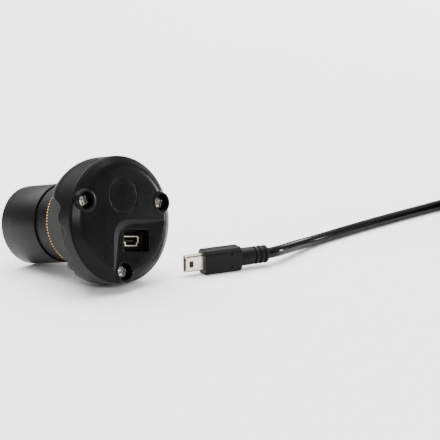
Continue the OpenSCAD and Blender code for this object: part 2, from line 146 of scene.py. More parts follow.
def surface(field, low, high, step):
    """Vertices and quads where a solid's signed distance is zero, found cell by cell on a grid."""
    axes = [np.arange(a - 1.5 * step, b + 2.5 * step, step) for a, b in zip(low, high)]
    f = field(*np.meshgrid(*axes, indexing="ij"))
    inside = f < 0
    shape = tuple(n - 1 for n in f.shape)
    corners = [(i, j, k) for i in (0, 1) for j in (0, 1) for k in (0, 1)]

    def shifted(a, c):
        return a[c[0]:c[0] + shape[0], c[1]:c[1] + shape[1], c[2]:c[2] + shape[2]]

    count = sum(shifted(inside, c).astype(np.int8) for c in corners)
    cells = np.argwhere((count > 0) & (count < 8))
    number = np.full(shape, -1, dtype=np.int64)
    number[tuple(cells.T)] = np.arange(len(cells))
    total = np.zeros((len(cells), 3))
    hits = np.zeros(len(cells))
    for a in corners:
        for axis in range(3):
            if a[axis]:
                continue
            b = tuple(1 if n == axis else a[n] for n in range(3))
            fa = f[tuple((cells + a).T)]
            fb = f[tuple((cells + b).T)]
            cut = (fa < 0) != (fb < 0)
            t = np.where(cut, fa / np.where(cut, fa - fb, 1), 0)
            place = np.tile(np.array(a, float), (len(cells), 1))
            place[:, axis] += t
            total[cut] += place[cut]
            hits += cut
    points = np.array([a[0] for a in axes]) + (cells + total / hits[:, None]) * step
    quads = []
    for axis in range(3):
        first = [slice(1, -1)] * 3
        first[axis] = slice(0, -1)
        second = [slice(1, -1)] * 3
        second[axis] = slice(1, None)
        a, b = inside[tuple(first)], inside[tuple(second)]
        u, v = (axis + 1) % 3, (axis + 2) % 3
        for grown, order in ((a & ~b, 1), (~a & b, -1)):
            at = np.argwhere(grown)
            for n in (u, v):
                at[:, n] += 1
            ring = []
            for du, dv in ((-1, -1), (0, -1), (0, 0), (-1, 0))[::order]:
                near = at.copy()
                near[:, u] += du
                near[:, v] += dv
                ring.append(number[tuple(near.T)])
            quads.append(np.stack(ring, axis=1))
    small = 0.02 * step
    for _ in range(3):
        here = field(*points.T)
        slope = np.stack([(field(*(points + small * e).T) - field(*(points - small * e).T)) / (2 * small)
                          for e in np.eye(3)], axis=1)
        move = slope * (here / np.maximum((slope * slope).sum(1), 0.2))[:, None]
        far = np.linalg.norm(move, axis=1, keepdims=True)
        points -= move * np.minimum(1, 0.4 * step / np.maximum(far, 1e-9))
    return points, np.concatenate(quads).tolist()


def round_corners(profile, radius, steps=4):
    """A closed outline with each corner replaced by a short arc."""
    made = []
    n = len(profile)
    for i in range(n):
        here = Vector(profile[i])
        before = Vector(profile[i - 1]) - here
        after = Vector(profile[(i + 1) % n]) - here
        reach = min(radius, 0.45 * before.length, 0.45 * after.length)
        a, b = here + before.normalized() * reach, here + after.normalized() * reach
        for s in range(steps + 1):
            u = s / steps
            made.append(tuple((1 - u) ** 2 * a + 2 * u * (1 - u) * here + u * u * b))
    return made


def lathe(profile, segments=192, bend=None):
    """A ring-shaped solid turned about y from a closed outline of (radius, y) points."""
    r, y = np.array(profile).T
    theta = np.linspace(0, 2 * math.pi, segments, endpoint=False)
    radius = np.tile(r, (segments, 1))
    if bend is not None:
        radius = bend(radius, np.tile(y, (segments, 1)), theta[:, None])
    verts = np.stack([radius * np.cos(theta)[:, None],
                      np.tile(y, (segments, 1)),
                      radius * np.sin(theta)[:, None]], axis=2).reshape(-1, 3)
    n = len(profile)
    area = sum(profile[i - 1][0] * profile[i][1] - profile[i][0] * profile[i - 1][1] for i in range(n))
    order = 1 if area > 0 else -1
    faces = []
    for s in range(segments):
        t = (s + 1) % segments
        for i in range(n):
            j = (i + 1) % n
            faces.append([s * n + i, s * n + j, t * n + j, t * n + i][::order])
    return verts, faces


def along_x(verts):
    """Points of a solid turned about y, laid so that its axis is x."""
    v = np.asarray(verts)
    return np.stack([v[:, 1], -v[:, 0], v[:, 2]], axis=1)


# ---------------------------------------------------------------- distances of simple solids

def smooth_max(a, b, k):
    """The larger of two distances, with the edge between them rounded over about k."""
    h = np.maximum(k - np.abs(a - b), 0) / k
    return np.maximum(a, b) + h * h * k * 0.25


def smooth_min(a, b, k):
    """The smaller of two distances, with the corner between them filled over about k."""
    return -smooth_max(-a, -b, k)


def span(v, low, high):
    """Distance from the layer between two limits."""
    return np.maximum(low - v, v - high)


def post(x, y, z, r, low, high, at=(0, 0), k=0.2):
    """A round post along y with rounded ends."""
    return smooth_max(np.hypot(x - at[0], z - at[1]) - r, span(y, low, high), k)


def rounded_rect(u, v, w, h, r, at=(0, 0)):
    """Distance in a plane from a rectangle with round corners."""
    du = np.abs(u - at[0]) - w / 2 + r
    dv = np.abs(v - at[1]) - h / 2 + r
    return np.hypot(np.maximum(du, 0), np.maximum(dv, 0)) + np.minimum(np.maximum(du, dv), 0) - r


def outline_distance(u, v, outline):
    """Signed distance in a plane from a closed outline of points, negative inside."""
    best = np.full(u.shape, 1e9)
    inside = np.zeros(u.shape, bool)
    for (ax, ay), (bx, by) in zip(outline, outline[1:] + outline[:1]):
        ex, ey = bx - ax, by - ay
        wx, wy = u - ax, v - ay
        t = np.clip((wx * ex + wy * ey) / (ex * ex + ey * ey), 0, 1)
        best = np.minimum(best, (wx - ex * t) ** 2 + (wy - ey * t) ** 2)
        if ey:
            crosses = (ay <= v) != (by <= v)
            inside ^= crosses & (u < ax + wy * ex / ey)
    return np.where(inside, -1, 1) * np.sqrt(best)


def mini_outline(w, h):
    """The mini-B outline: wide side up, shoulders to a narrower lower side."""
    right = [(w / 2, h / 2), (w / 2, -0.05 * h), (0.4 * w, -0.25 * h), (0.4 * w, -h / 2)]
    return right + [(-u, v) for u, v in reversed(right)]


# ---------------------------------------------------------------- materials

def finish_nodes(name, roughness, metallic=0.0, specular=0.5):
    """A new material with its shader's plain values set, and coordinates that stay on the object."""
    material = bpy.data.materials.new(name)
    material.use_nodes = True
    nodes, links = material.node_tree.nodes, material.node_tree.links
    bsdf = nodes["Principled BSDF"]
    bsdf.inputs["Roughness"].default_value = roughness
    bsdf.inputs["Metallic"].default_value = metallic
    bsdf.inputs["Specular IOR Level"].default_value = specular
    coords = nodes.new("ShaderNodeTexCoord").outputs["Object"]
    return material, nodes, links, bsdf, coords


def stretched(nodes, links, coords, scale):
    """Coordinates scaled by a different amount on each axis."""
    mapping = nodes.new("ShaderNodeMapping")
    mapping.inputs["Scale"].default_value = scale
    links.new(coords, mapping.inputs["Vector"])
    return mapping.outputs["Vector"]


def noise(nodes, links, vector, scale, detail=3.0):
    """Even noise from 0 to 1."""
    texture = nodes.new("ShaderNodeTexNoise")
    texture.inputs["Scale"].default_value = scale
    texture.inputs["Detail"].default_value = detail
    links.new(vector, texture.inputs["Vector"])
    return texture.outputs["Fac"]


def ramp(nodes, links, fac, low, high, start=0.3, end=0.7):
    """A colour that follows a texture from low to high."""
    made = nodes.new("ShaderNodeValToRGB")
    made.color_ramp.elements[0].position = start
    made.color_ramp.elements[0].color = low
    made.color_ramp.elements[1].position = end
    made.color_ramp.elements[1].color = high
    links.new(fac, made.inputs["Fac"])
    return made.outputs["Color"]


def spread(nodes, links, fac, low, high):
    """A value that follows a texture between two limits."""
    made = nodes.new("ShaderNodeMapRange")
    made.inputs["From Min"].default_value = 0.3
    made.inputs["From Max"].default_value = 0.7
    made.inputs["To Min"].default_value = low
    made.inputs["To Max"].default_value = high
    links.new(fac, made.inputs["Value"])
    return made.outputs["Result"]


def bumped(nodes, links, bsdf, height, depth_mm, strength):
    """Relief of the given depth on a shader's normal."""
    bump = nodes.new("ShaderNodeBump")
    bump.inputs["Strength"].default_value = strength
    bump.inputs["Distance"].default_value = depth_mm * MM
    links.new(height, bump.inputs["Height"])
    links.new(bump.outputs["Normal"], bsdf.inputs["Normal"])


def shade(value, tint=(1, 1, 1)):
    """A grey with a slight tint."""
    return (value * tint[0], value * tint[1], value * tint[2], 1)


def moulded(name, value, roughness, grain_mm, depth_mm, tint=(1, 1, 1), specular=0.5, strength=0.5):
    """Moulded plastic or rubber: an even grain, and slow patches of shade and gloss."""
    material, nodes, links, bsdf, coords = finish_nodes(name, roughness, specular=specular)
    patches = noise(nodes, links, coords, 120, 2)
    grain = noise(nodes, links, coords, 1 / (grain_mm * MM), 2)
    links.new(ramp(nodes, links, patches, shade(value * 0.85, tint), shade(value * 1.15, tint)),
              bsdf.inputs["Base Color"])
    links.new(spread(nodes, links, patches, roughness * 0.92, roughness * 1.08), bsdf.inputs["Roughness"])
    bumped(nodes, links, bsdf, grain, depth_mm, strength)
    return material


def metal(name, color, roughness, line_scale, depth_mm=0.01, metallic=1.0):
    """Metal with fine drawn or turned lines across the given stretch of the object's own axes."""
    material, nodes, links, bsdf, coords = finish_nodes(name, roughness, metallic)
    lines = noise(nodes, links, stretched(nodes, links, coords, line_scale), 1.0, 2)
    patches = noise(nodes, links, coords, 300, 2)
    dark = tuple(0.82 * c for c in color) + (1,)
    links.new(ramp(nodes, links, patches, dark, tuple(color) + (1,)), bsdf.inputs["Base Color"])
    links.new(spread(nodes, links, lines, roughness * 0.8, roughness * 1.25), bsdf.inputs["Roughness"])
    bumped(nodes, links, bsdf, lines, depth_mm, 0.4)
    return material


def clear_glass(name, tint, roughness):
    """Clear glass with faint smears in its gloss."""
    material, nodes, links, bsdf, coords = finish_nodes(name, roughness)
    smears = noise(nodes, links, coords, 250, 3)
    bsdf.inputs["Transmission Weight"].default_value = 1.0
    bsdf.inputs["IOR"].default_value = 1.5
    links.new(ramp(nodes, links, smears, shade(0.92, tint), shade(1.0, tint)), bsdf.inputs["Base Color"])
    links.new(spread(nodes, links, smears, roughness, roughness * 2), bsdf.inputs["Roughness"])
    return material


def board(name, tint):
    """Solder-masked circuit board: lighter tracks in straight runs under the mask."""
    material, nodes, links, bsdf, coords = finish_nodes(name, 0.35)
    tracks = nodes.new("ShaderNodeTexVoronoi")
    tracks.distance = "MANHATTAN"
    tracks.feature = "DISTANCE_TO_EDGE"
    tracks.inputs["Scale"].default_value = 700
    links.new(coords, tracks.inputs["Vector"])
    mask = ramp(nodes, links, tracks.outputs["Distance"], shade(0.10, tint), shade(0.04, tint), 0.05, 0.12)
    links.new(mask, bsdf.inputs["Base Color"])
    bumped(nodes, links, bsdf, tracks.outputs["Distance"], 0.03, 0.4)
    return material


def grip_plastic():
    """The housing's plastic: satin on the shell, and a matt finish where the scoops are cut, with the scoop
    floors' colour painted paler there as painted sheen from the light the sloping floors catch.
    """
    material, nodes, links, bsdf, coords = finish_nodes("housing_shell", 0.4, specular=0.09)
    patches = noise(nodes, links, coords, 120, 2)
    grain = noise(nodes, links, coords, 2500, 2)
    shell = ramp(nodes, links, patches, shade(0.0028), shade(0.004))
    # painted sheen: the scoop floors' warm base colour, several times paler than the shell's, stands in for
    # the light the sloping floors catch
    painted_sheen_tint = (1, 1.02, 0.95)
    floor = ramp(nodes, links, grain, shade(0.017, painted_sheen_tint), shade(0.027, painted_sheen_tint))
    zone = nodes.new("ShaderNodeAttribute")
    zone.attribute_name = "scoop"
    mix = nodes.new("ShaderNodeMix")
    mix.data_type = "RGBA"
    # a colour mix shares its sockets' names with the other kinds, so they are picked by place
    mix_fac, mix_a, mix_b, mix_result = mix.inputs[0], mix.inputs[6], mix.inputs[7], mix.outputs[2]
    links.new(zone.outputs["Fac"], mix_fac)
    links.new(shell, mix_a)
    links.new(floor, mix_b)
    links.new(mix_result, bsdf.inputs["Base Color"])
    gloss = nodes.new("ShaderNodeMapRange")
    gloss.inputs["To Min"].default_value = 0.34
    gloss.inputs["To Max"].default_value = 0.8
    links.new(zone.outputs["Fac"], gloss.inputs["Value"])
    links.new(gloss.outputs["Result"], bsdf.inputs["Roughness"])
    bumped(nodes, links, bsdf, grain, 0.04, 0.35)
    return material


COVER = moulded("cover_satin", 0.0025, 0.28, 0.18, 0.0015, specular=0.08, strength=0.25)
HOUSING = grip_plastic()
RUBBER = moulded("seal_matt", 0.004, 0.75, 0.3, 0.02, specular=0.25)
ANODISED = metal("anodised_satin", (0.012, 0.012, 0.0125), 0.4, (60, 9000, 60), 0.006, 0.85)
STEEL = metal("screw_zinc", (0.42, 0.40, 0.37), 0.26, (900, 900, 900), 0.01)
BRASS = metal("brass_bright", (0.82, 0.56, 0.22), 0.28, (200, 6000, 200), 0.008)
PLUG_METAL = metal("plug_nickel", (0.66, 0.60, 0.53), 0.3, (200, 3500, 3500), 0.006)
SOCKET_METAL = metal("socket_nickel", (0.86, 0.76, 0.60), 0.34, (3500, 200, 3500), 0.006)
GOLD = metal("contact_plating", (0.86, 0.66, 0.28), 0.25, (900, 900, 900), 0.004)
OVERMOLD = moulded("overmold_satin", 0.0025, 0.4, 0.4, 0.01, (0.92, 1, 1.02), 0.1)
CABLE = moulded("cable_gloss", 0.002, 0.17, 1.2, 0.01, (0.9, 1, 1.1), 0.1, 0.2)
INNER_BLACK = moulded("inner_black", 0.004, 0.5, 0.3, 0.02, specular=0.3)
BAFFLE = moulded("baffle_flock", 0.006, 0.9, 0.15, 0.05)
WHITE = moulded("insulator_white", 0.75, 0.45, 0.4, 0.01)
CREAM = moulded("connector_body", 0.6, 0.5, 0.3, 0.01, (1, 0.95, 0.8))
CERAMIC = moulded("sensor_body", 0.05, 0.45, 0.2, 0.01, (1, 0.8, 0.7))
TAN = moulded("capacitor_body", 0.30, 0.5, 0.2, 0.01, (1, 0.8, 0.55))
TIE = moulded("tie_weave", 0.014, 0.8, 0.25, 0.08, strength=0.9)
GREEN = board("board_mask", (0.3, 1, 0.5))
GLASS = clear_glass("window_clear", (0.97, 1, 0.99), 0.02)


# ---------------------------------------------------------------- rear cover

BODY_R = 25
PLATEAU_R, PLATEAU_H, DOME_H = 21.3, 2.5, 0.5
SCREW_CIRCLE_R = 20.3
SCREW_ANGLES = [math.radians(a) for a in (20, 160, 270)]
SCREW_PLACES = [(SCREW_CIRCLE_R * math.cos(a), SCREW_CIRCLE_R * math.sin(a)) for a in SCREW_ANGLES]
WELL_R, WELL_FLOOR_Y = 3.4, 0.9
BOSS_R, BOSS_Y = 4.2, -2.7
RECESS_CORNER, RECESS_R, RECESS_Y = (-5.7, 0), 3.5, -1.8
RECESS_FALL = math.tan(math.radians(2.2)) / math.sqrt(2)
RAMP_LEFT, RAMP_UPPER = 2.6, 1.8
GROOVE_AT, GROOVE_R = (-0.5, 9.2), 6.9
GROOVE_DEPTH = 0.42
SCREW_POST_R, SCREW_HOLE_R = 3.9, 1.7
HOLLOW_R, SPIGOT_R, SPIGOT_HALF_T = 21.2, 21.75, 0.55
POCKET_W, POCKET_H, POCKET_FLOOR_Y = 12.8, 8.6, 1.9
SOCKET_W, SOCKET_H, SOCKET_Y, BOARD_Y = 7.7, 3.95, 1.0, 8.6


def rear_cover_field(x, y, z):
    """The moulded cover: dome, bevel, three screw wells, the sunken quadrant and the USB pocket."""
    r = np.hypot(x, z)
    dome = -(y + PLATEAU_H + DOME_H * (1 - (r / PLATEAU_R) ** 2))
    run, fall = BODY_R - 0.3 - PLATEAU_R, PLATEAU_H - 0.3
    bevel = ((r - PLATEAU_R) * fall - (y + PLATEAU_H) * run) / math.hypot(run, fall)
    outer = smooth_max(smooth_max(dome, bevel, 0.8), r - BODY_R + 0.02, 0.5)
    solid = np.maximum(outer, y)
    for px, pz in SCREW_PLACES:
        solid = smooth_min(solid, post(x, y, z, BOSS_R, BOSS_Y, 0, (px, pz), 0.5), 0.5)
        solid = np.minimum(solid, post(x, y, z, SCREW_POST_R, -1, 2.6, (px, pz)))
    # the sunken quadrant: ramps on its left and upper sides that meet in a round corner
    u, v = x - RECESS_CORNER[0], RECESS_CORNER[1] - z
    depth = np.maximum(-dome, 0)
    left = (RAMP_LEFT * depth - u) / math.hypot(1, RAMP_LEFT)
    upper = (RAMP_UPPER * depth - v) / math.hypot(1, RAMP_UPPER)
    floor = y - (RECESS_Y - RECESS_FALL * (u + v))
    solid = smooth_max(solid, -smooth_max(smooth_max(left, upper, RECESS_R), floor, 0.2), 0.12)
    # the spigot that enters the housing, and the hollow behind the face
    inner = smooth_max(r - HOLLOW_R, -0.8 - y, 0.4)
    solid = np.maximum(solid, -inner)
    spigot = smooth_max(np.abs(r - SPIGOT_R) - SPIGOT_HALF_T, span(y, -0.9, 2), 0.3)
    solid = np.minimum(solid, spigot)
    for px, pz in SCREW_PLACES:
        solid = np.minimum(solid, post(x, y, z, SCREW_POST_R, -1, 2.6, (px, pz)))
    # the USB pocket's box, its opening, and the stepped frame round the socket
    box = smooth_max(rounded_rect(x, z, POCKET_W + 2.4, POCKET_H + 2.4, 1.5, POCKET), span(y, -1, 2.7), 0.3)
    solid = np.minimum(solid, box)
    pocket = smooth_max(rounded_rect(x, z, POCKET_W, POCKET_H, 0.8, POCKET), y - POCKET_FLOOR_Y, 0.3)
    solid = smooth_max(solid, -pocket, 0.5)
    lip = smooth_max(rounded_rect(x, z, SOCKET_W + 2.6, SOCKET_H + 2.4, 0.5, POCKET), span(y, 1.0, 2.2), 0.3)
    step = smooth_max(rounded_rect(x, z, SOCKET_W + 1.3, SOCKET_H + 1.2, 0.4, POCKET), span(y, 0.4, 2.2), 0.3)
    solid = np.minimum(solid, np.minimum(lip, step))
    opening = smooth_max(rounded_rect(x, z, SOCKET_W + 0.3, SOCKET_H + 0.3, 0.3, POCKET), span(y, 0, 4), 0.2)
    solid = smooth_max(solid, -opening, 0.2)
    for px, pz in SCREW_PLACES:
        well = smooth_max(np.hypot(x - px, z - pz) - WELL_R, y - WELL_FLOOR_Y, 0.3)
        solid = smooth_max(solid, -well, 0.3)
        solid = np.maximum(solid, SCREW_HOLE_R - np.hypot(x - px, z - pz))
    # one plain round groove on the upper face
    groove = np.hypot(np.hypot(x - GROOVE_AT[0], z - GROOVE_AT[1]) - GROOVE_R, dome)
    return smooth_max(solid, GROOVE_DEPTH - groove, 0.15)


def make_rear_cover():
    """The rear cover's moulding."""
    points, quads = surface(rear_cover_field, (-BODY_R, -3.1, -BODY_R), (BODY_R, 2.8, BODY_R), 0.2)
    new_piece("rear_cover_moulding", points, quads, BODY, "camera", ["rear_cover"], COVER)


# ---------------------------------------------------------------- front housing

NOSE_FACE_R, HOUSING_LEN, STRAIGHT_LEN = 17.2, 24.5, 14.5
GASKET_T, HOUSING_WALL = 0.5, 2.5
HOLLOW_NOSE_R, HOLLOW_STRAIGHT_Y, HOLLOW_END_Y = 17.5, 5.5, 18
APERTURE_R, SEAT_R = 9, 11
PILLAR_R, PILLAR_Y, PILLAR_HOLE_R, PILLAR_POCKET_R = 3, 3, 2.1, 4
INSERT_R, KNURL_R, INSERT_Y, INSERT_END = 16.5, 17.1, 20, 25.3
INSERT_BORE_R, KNURLS, KNURL_DEPTH = 12.7, 90, 0.9
SCOOP_SLOPE, SCOOP_STEP = 0.39, 1.4
SCOOP_MID, SCOOP_HALF = math.radians(17), math.radians(50)


def scoop_edge_y(off):
    """Distance from the rim of the scoop's wavy edge, by the angle in degrees from level."""
    arch = 4.0 + 0.0041 * (off - 17) ** 2 + 0.03 * np.maximum(off - 17, 0)
    height = (3.0 + 1.2 * np.clip((off - 25) / 30, 0, 1)) * np.clip((66 - off) / 12, 0, 1)
    return arch + height * (1 - np.cos(2 * np.pi * (off - 11.5) / 22.5)) / 2


def scoop_floor_r(y):
    """Radius of a scoop's sloping floor."""
    return np.minimum(NOSE_FACE_R + (HOUSING_LEN - y) * SCOOP_SLOPE, BODY_R - SCOOP_STEP)


def scoop_cut(x, y, z):
    """Distance into one finger scoop: the wedge outside its sloping floor, beyond its wavy edge."""
    r = np.hypot(x, z)
    angle = np.arctan2(z, x)
    off = np.mod(angle, 2 * math.pi) - math.pi
    beyond = (scoop_edge_y(np.degrees(off)) - y) * 0.8
    side = (np.abs(off - SCOOP_MID) - SCOOP_HALF) * r
    return smooth_max(smooth_max((scoop_floor_r(y) - r) * 0.93, beyond, 0.5), side, 4.0)


def both_scoops(x, y, z):
    """The scoops on the right and left sides, mirrored."""
    return np.minimum(scoop_cut(x, y, z), scoop_cut(-x, y, z))


def housing_field(x, y, z):
    """The housing's shell: a straight band, a cone to the nose, scoops, and the hollow inside."""
    r = np.hypot(x, z)
    run, fall = HOUSING_LEN - STRAIGHT_LEN, BODY_R - NOSE_FACE_R
    cone = ((r - BODY_R) * run + (y - STRAIGHT_LEN) * fall) / math.hypot(run, fall)
    outer = smooth_max(smooth_max(r - BODY_R + 0.02, cone, 3.0), y - HOUSING_LEN, 0.5)
    outer = smooth_max(outer, GASKET_T - y, 0.6)
    solid = smooth_max(outer, -both_scoops(x, y, z), 0.3)
    inner_r = BODY_R - HOUSING_WALL
    slope = (inner_r - HOLLOW_NOSE_R) / (HOLLOW_END_Y - HOLLOW_STRAIGHT_Y)
    wall = r - inner_r + slope * np.maximum(y - HOLLOW_STRAIGHT_Y, 0)
    solid = np.maximum(solid, -smooth_max(wall, y - HOLLOW_END_Y, 0.5))
    # the opening for the light, the seat in front of it, and the insert's place
    opening = np.minimum(np.maximum(r - APERTURE_R, y - 19), np.maximum(r - SEAT_R, 18.8 - y))
    solid = np.maximum(solid, -opening)
    solid = np.maximum(solid, -np.maximum(r - INSERT_R - 0.02, INSERT_Y - y))
    for px, pz in SCREW_PLACES:
        around = np.hypot(x - px, z - pz)
        solid = np.minimum(solid, np.maximum(around - PILLAR_R, span(y, PILLAR_Y, 7.6)))
        solid = np.maximum(solid, -np.maximum(around - PILLAR_POCKET_R, y - PILLAR_Y))
        solid = np.maximum(solid, -np.maximum(around - PILLAR_HOLE_R, y - 7.2))
    return solid


def make_front_housing():
    """The housing's moulding, with its scoop floors marked for the grip's matt finish and its painted sheen.
    """
    points, quads = surface(housing_field, (-BODY_R, GASKET_T, -BODY_R), (BODY_R, HOUSING_LEN, BODY_R), 0.27)
    piece = new_piece("front_housing_moulding", points, quads, BODY, "camera",
                      ["front_housing"], HOUSING)
    x, y, z = points.T
    depth = both_scoops(x, y, z)
    # this mask sets both the matt roughness and the paler colour of painted sheen on the scoop floors
    on_floor = (np.abs(depth) < 0.3) & (np.hypot(x, z) - scoop_floor_r(y) < 0.35)
    zone = piece.data.attributes.new("scoop", "FLOAT", "POINT")
    zone.data.foreach_set("value", on_floor.astype(np.float32))


# ---------------------------------------------------------------- nose

FLANGE_R, FLANGE_Y, STEP_Y, BARREL_Y = 15.2, 26.6, 33.9, 34.5
BARREL_R = MOUNTS["nosepiece"]["dims"]["r_mm"]
BARREL_END = 56.2
NECK_R, NECK_Y, LENS_PITCH, FILTER_PITCH = 12.62, 21.23, 25.4 / 32, 0.6
STEP_R, BORE_R, FILTER_BORE_R = 14.75, 11, 13.5
FLANGE_GROOVES = (27.6, 28.5, 29.4, 30.3, 31.2, 32.1, 33.0)
WASHER_IN_R, WASHER_OUT_R, WASHER_Y, WASHER_END = 12.82, 14.6, 25.4, 26.4
FILTER_R = MOUNTS["filter_thread"]["dims"]["r_mm"]
FILTER_LEN = MOUNTS["filter_thread"]["dims"]["length_mm"]


def thread_line(r, y0, y1, pitch, depth):
    """Points along a thread's ridges and grooves, from y0 to y1."""
    turns = int(abs(y1 - y0) / pitch)
    toward = 1 if y1 > y0 else -1
    line = []
    for n in range(turns):
        at = y0 + toward * (n + 0.25) * pitch
        line += [(r, at), (r + depth, at + toward * 0.4 * pitch), (r + depth, at + toward * 0.5 * pitch)]
    return line


def make_mount_insert():
    """The knurled brass ring round the lens-mount thread."""
    flange_y = HOUSING_LEN + 0.02
    corners = [(INSERT_BORE_R, INSERT_Y), (INSERT_R, INSERT_Y), (INSERT_R, flange_y),
               (KNURL_R, flange_y), (KNURL_R, INSERT_END), (INSERT_BORE_R, INSERT_END)]

    def knurled(r, y, theta):
        ridge = np.abs(np.cos(KNURLS * theta / 2)) ** 2
        return np.where((y > HOUSING_LEN) & (r > INSERT_R + 0.05), r - KNURL_DEPTH * (1 - ridge), r)

    verts, faces = lathe(round_corners(corners, 0.2), KNURLS * 10, knurled)
    new_piece("mount_insert_knurled", verts, faces, BODY, "camera", ["mount_insert"], BRASS)


def make_washer():
    """The soft ring between the insert and the nosepiece's flange."""
    corners = [(WASHER_IN_R, WASHER_Y), (WASHER_OUT_R, WASHER_Y), (WASHER_OUT_R, WASHER_END),
               (WASHER_IN_R, WASHER_END)]
    verts, faces = lathe(round_corners(corners, 0.35), 160)
    new_piece("nosepiece_washer_ring", verts, faces, BODY, "thread_carrier",
              ["nosepiece_washer"], RUBBER)


def make_nosepiece():
    """The barrel: threaded neck, turned flange, step, plain tube and filter thread."""
    neck = [(NECK_R - 0.35, NECK_Y), (NECK_R, 21.6)] + thread_line(NECK_R, 21.7, 25.6, LENS_PITCH, -0.4)
    flange = [(12.5, FLANGE_Y), (FLANGE_R, FLANGE_Y)]
    for y in FLANGE_GROOVES:
        flange += [(FLANGE_R, y - 0.16), (FLANGE_R - 0.2, y), (FLANGE_R, y + 0.16)]
    barrel = [(FLANGE_R, STEP_Y), (STEP_R, STEP_Y + 0.05), (STEP_R, BARREL_Y), (BARREL_R, BARREL_Y),
              (BARREL_R, BARREL_END - 0.4), (BARREL_R - 0.4, BARREL_END), (FILTER_R + 0.3, BARREL_END),
              (FILTER_R, BARREL_END - 0.3)]
    inside = thread_line(FILTER_R, BARREL_END - 0.5, BARREL_END - FILTER_LEN, FILTER_PITCH, 0.3)
    bore = [(FILTER_BORE_R, BARREL_END - FILTER_LEN), (FILTER_BORE_R, 30), (BORE_R, 30), (BORE_R, NECK_Y)]
    outline = round_corners(neck + flange + barrel + inside + bore, 0.14, 2)
    verts, faces = lathe(outline, 288)
    new_piece("nosepiece_barrel_turned", verts, faces, BODY, "nosepiece",
              ["nosepiece_barrel"], ANODISED)


# ---------------------------------------------------------------- screws and socket

def screw_field(head_r, head_h, shank_r, tip):
    """A pan-head screw with a cross recess, its seat at y = 0 and its tip at +y."""
    def field(x, y, z):
        r = np.hypot(x, z)
        ball = head_r * 1.45
        top = np.hypot(r, y - (ball - head_h)) - ball
        head = smooth_max(smooth_max(top, r - head_r, 0.35), y, 0.12)
        depth = -0.08 * head_h
        taper = 0.28 * (y + head_h)
        bar_a = np.maximum(np.abs(x) - 0.2 * head_r + 0.1 * taper, np.abs(z) - 0.74 * head_r + taper)
        bar_b = np.maximum(np.abs(z) - 0.2 * head_r + 0.1 * taper, np.abs(x) - 0.74 * head_r + taper)
        cross = smooth_max(smooth_min(bar_a, bar_b, 0.15), y - depth, 0.15)
        head = smooth_max(head, -cross, 0.12)
        ridge = 0.16 * np.abs(np.mod(y / 0.8 + np.arctan2(z, x) / (2 * np.pi), 1) * 2 - 1)
        shank = smooth_max(r - shank_r + ridge, span(y, -0.2, tip), 0.3)
        return np.minimum(head, shank)
    return field


def make_screws(name, nodes, places, seat_y, sizes, step):
    """One screw's mesh set in each place with its cross turned differently."""
    head_r, head_h, _, tip = sizes
    points, quads = surface(screw_field(*sizes), (-head_r, -head_h, -head_r), (head_r, tip, head_r), step)
    verts, faces = [], []
    for n, (px, pz) in enumerate(places):
        turn = math.radians(25 + 38 * n)
        c, s = math.cos(turn), math.sin(turn)
        x, y, z = points.T
        start = len(points) * n
        verts.append(np.stack([c * x - s * z + px, y + seat_y, s * x + c * z + pz], axis=1))
        faces += [[i + start for i in q] for q in quads]
    new_piece(name, np.concatenate(verts), faces, BODY, "camera", nodes, STEEL)


def make_socket():
    """The mini-B socket's folded shell and its tongue."""
    outer = mini_outline(SOCKET_W - 0.35, SOCKET_H - 0.35)
    px, pz = POCKET

    def shell(x, y, z):
        d = outline_distance(x - px, z - pz, outer)
        tube = smooth_max(np.abs(d) - 0.175, span(y, SOCKET_Y, BOARD_Y), 0.12)
        back = np.maximum(d - 0.1, span(y, BOARD_Y - 0.4, BOARD_Y))
        seam = np.maximum(np.abs(x - px) - 0.06, np.maximum(pz - z, 4.5 - y))
        return np.maximum(np.minimum(tube, back), -seam)

    half_w, half_h = SOCKET_W / 2, SOCKET_H / 2
    high = (px + half_w, BOARD_Y, pz + half_h)
    points, quads = surface(shell, (px - half_w, SOCKET_Y, pz - half_h), high, 0.11)
    new_piece("usb_socket_shell_folded", points, quads, BODY, "camera",
              ["usb_socket_shell"], SOCKET_METAL)

    def insulator(x, y, z):
        end = BOARD_Y - 0.45
        inset = outline_distance(x - px, z - pz, outer) + 0.31
        tongue = smooth_max(rounded_rect(x, z, 4.2, 0.7, 0.15, POCKET), span(y, SOCKET_Y + 0.8, end), 0.2)
        liner = smooth_max(np.abs(inset) - 0.12, span(y, SOCKET_Y + 0.35, end), 0.1)
        block = np.maximum(inset, span(y, BOARD_Y - 1.4, end))
        return np.minimum(np.minimum(tongue, liner), block)

    points, quads = surface(insulator, (px - half_w, 1.3, pz - half_h), high, 0.11)
    new_piece("usb_socket_tongue", points, quads, BODY, "camera",
              ["usb_socket_insulator"], INNER_BLACK)


# ---------------------------------------------------------------- plugs

CORD_D = 4.5
MINI_W, MINI_T, MINI_SHELL_IN = 6.8, 3, 2
SHELL_LEN, OVERMOLD_LEN, BOOT_LEN = 7.8, 16.2, 12.4
OVERMOLD_T, OVERMOLD_W, SMALL_BOOT_R = 8, 10, 3.7
LARGE_BOOT, LARGE_BODY, LARGE_SHELL = 12, 22, 18.5
SMALL_GROOVES, LARGE_GROOVES = (5.9, 8.1, 10.3), (1.6, 3.9, 6.2)
LARGE_W, LARGE_H, LARGE_SHELL_IN = 12, 4.5, 3
LARGE_BODY_W, LARGE_BODY_H = 15.6, 8


def moulded_bar(x, y, z, x0, x1, w, h, bevel, soft):
    """A bar along x with bevelled long edges and softened ends: w in y, h in z."""
    flat = np.maximum(np.abs(y) - w / 2, np.abs(z) - h / 2)
    slant = (np.abs(y) + np.abs(z) - (w + h) / 2 + bevel) / math.sqrt(2)
    return smooth_max(smooth_max(flat, slant, 0.35), span(x, x0, x1), soft)


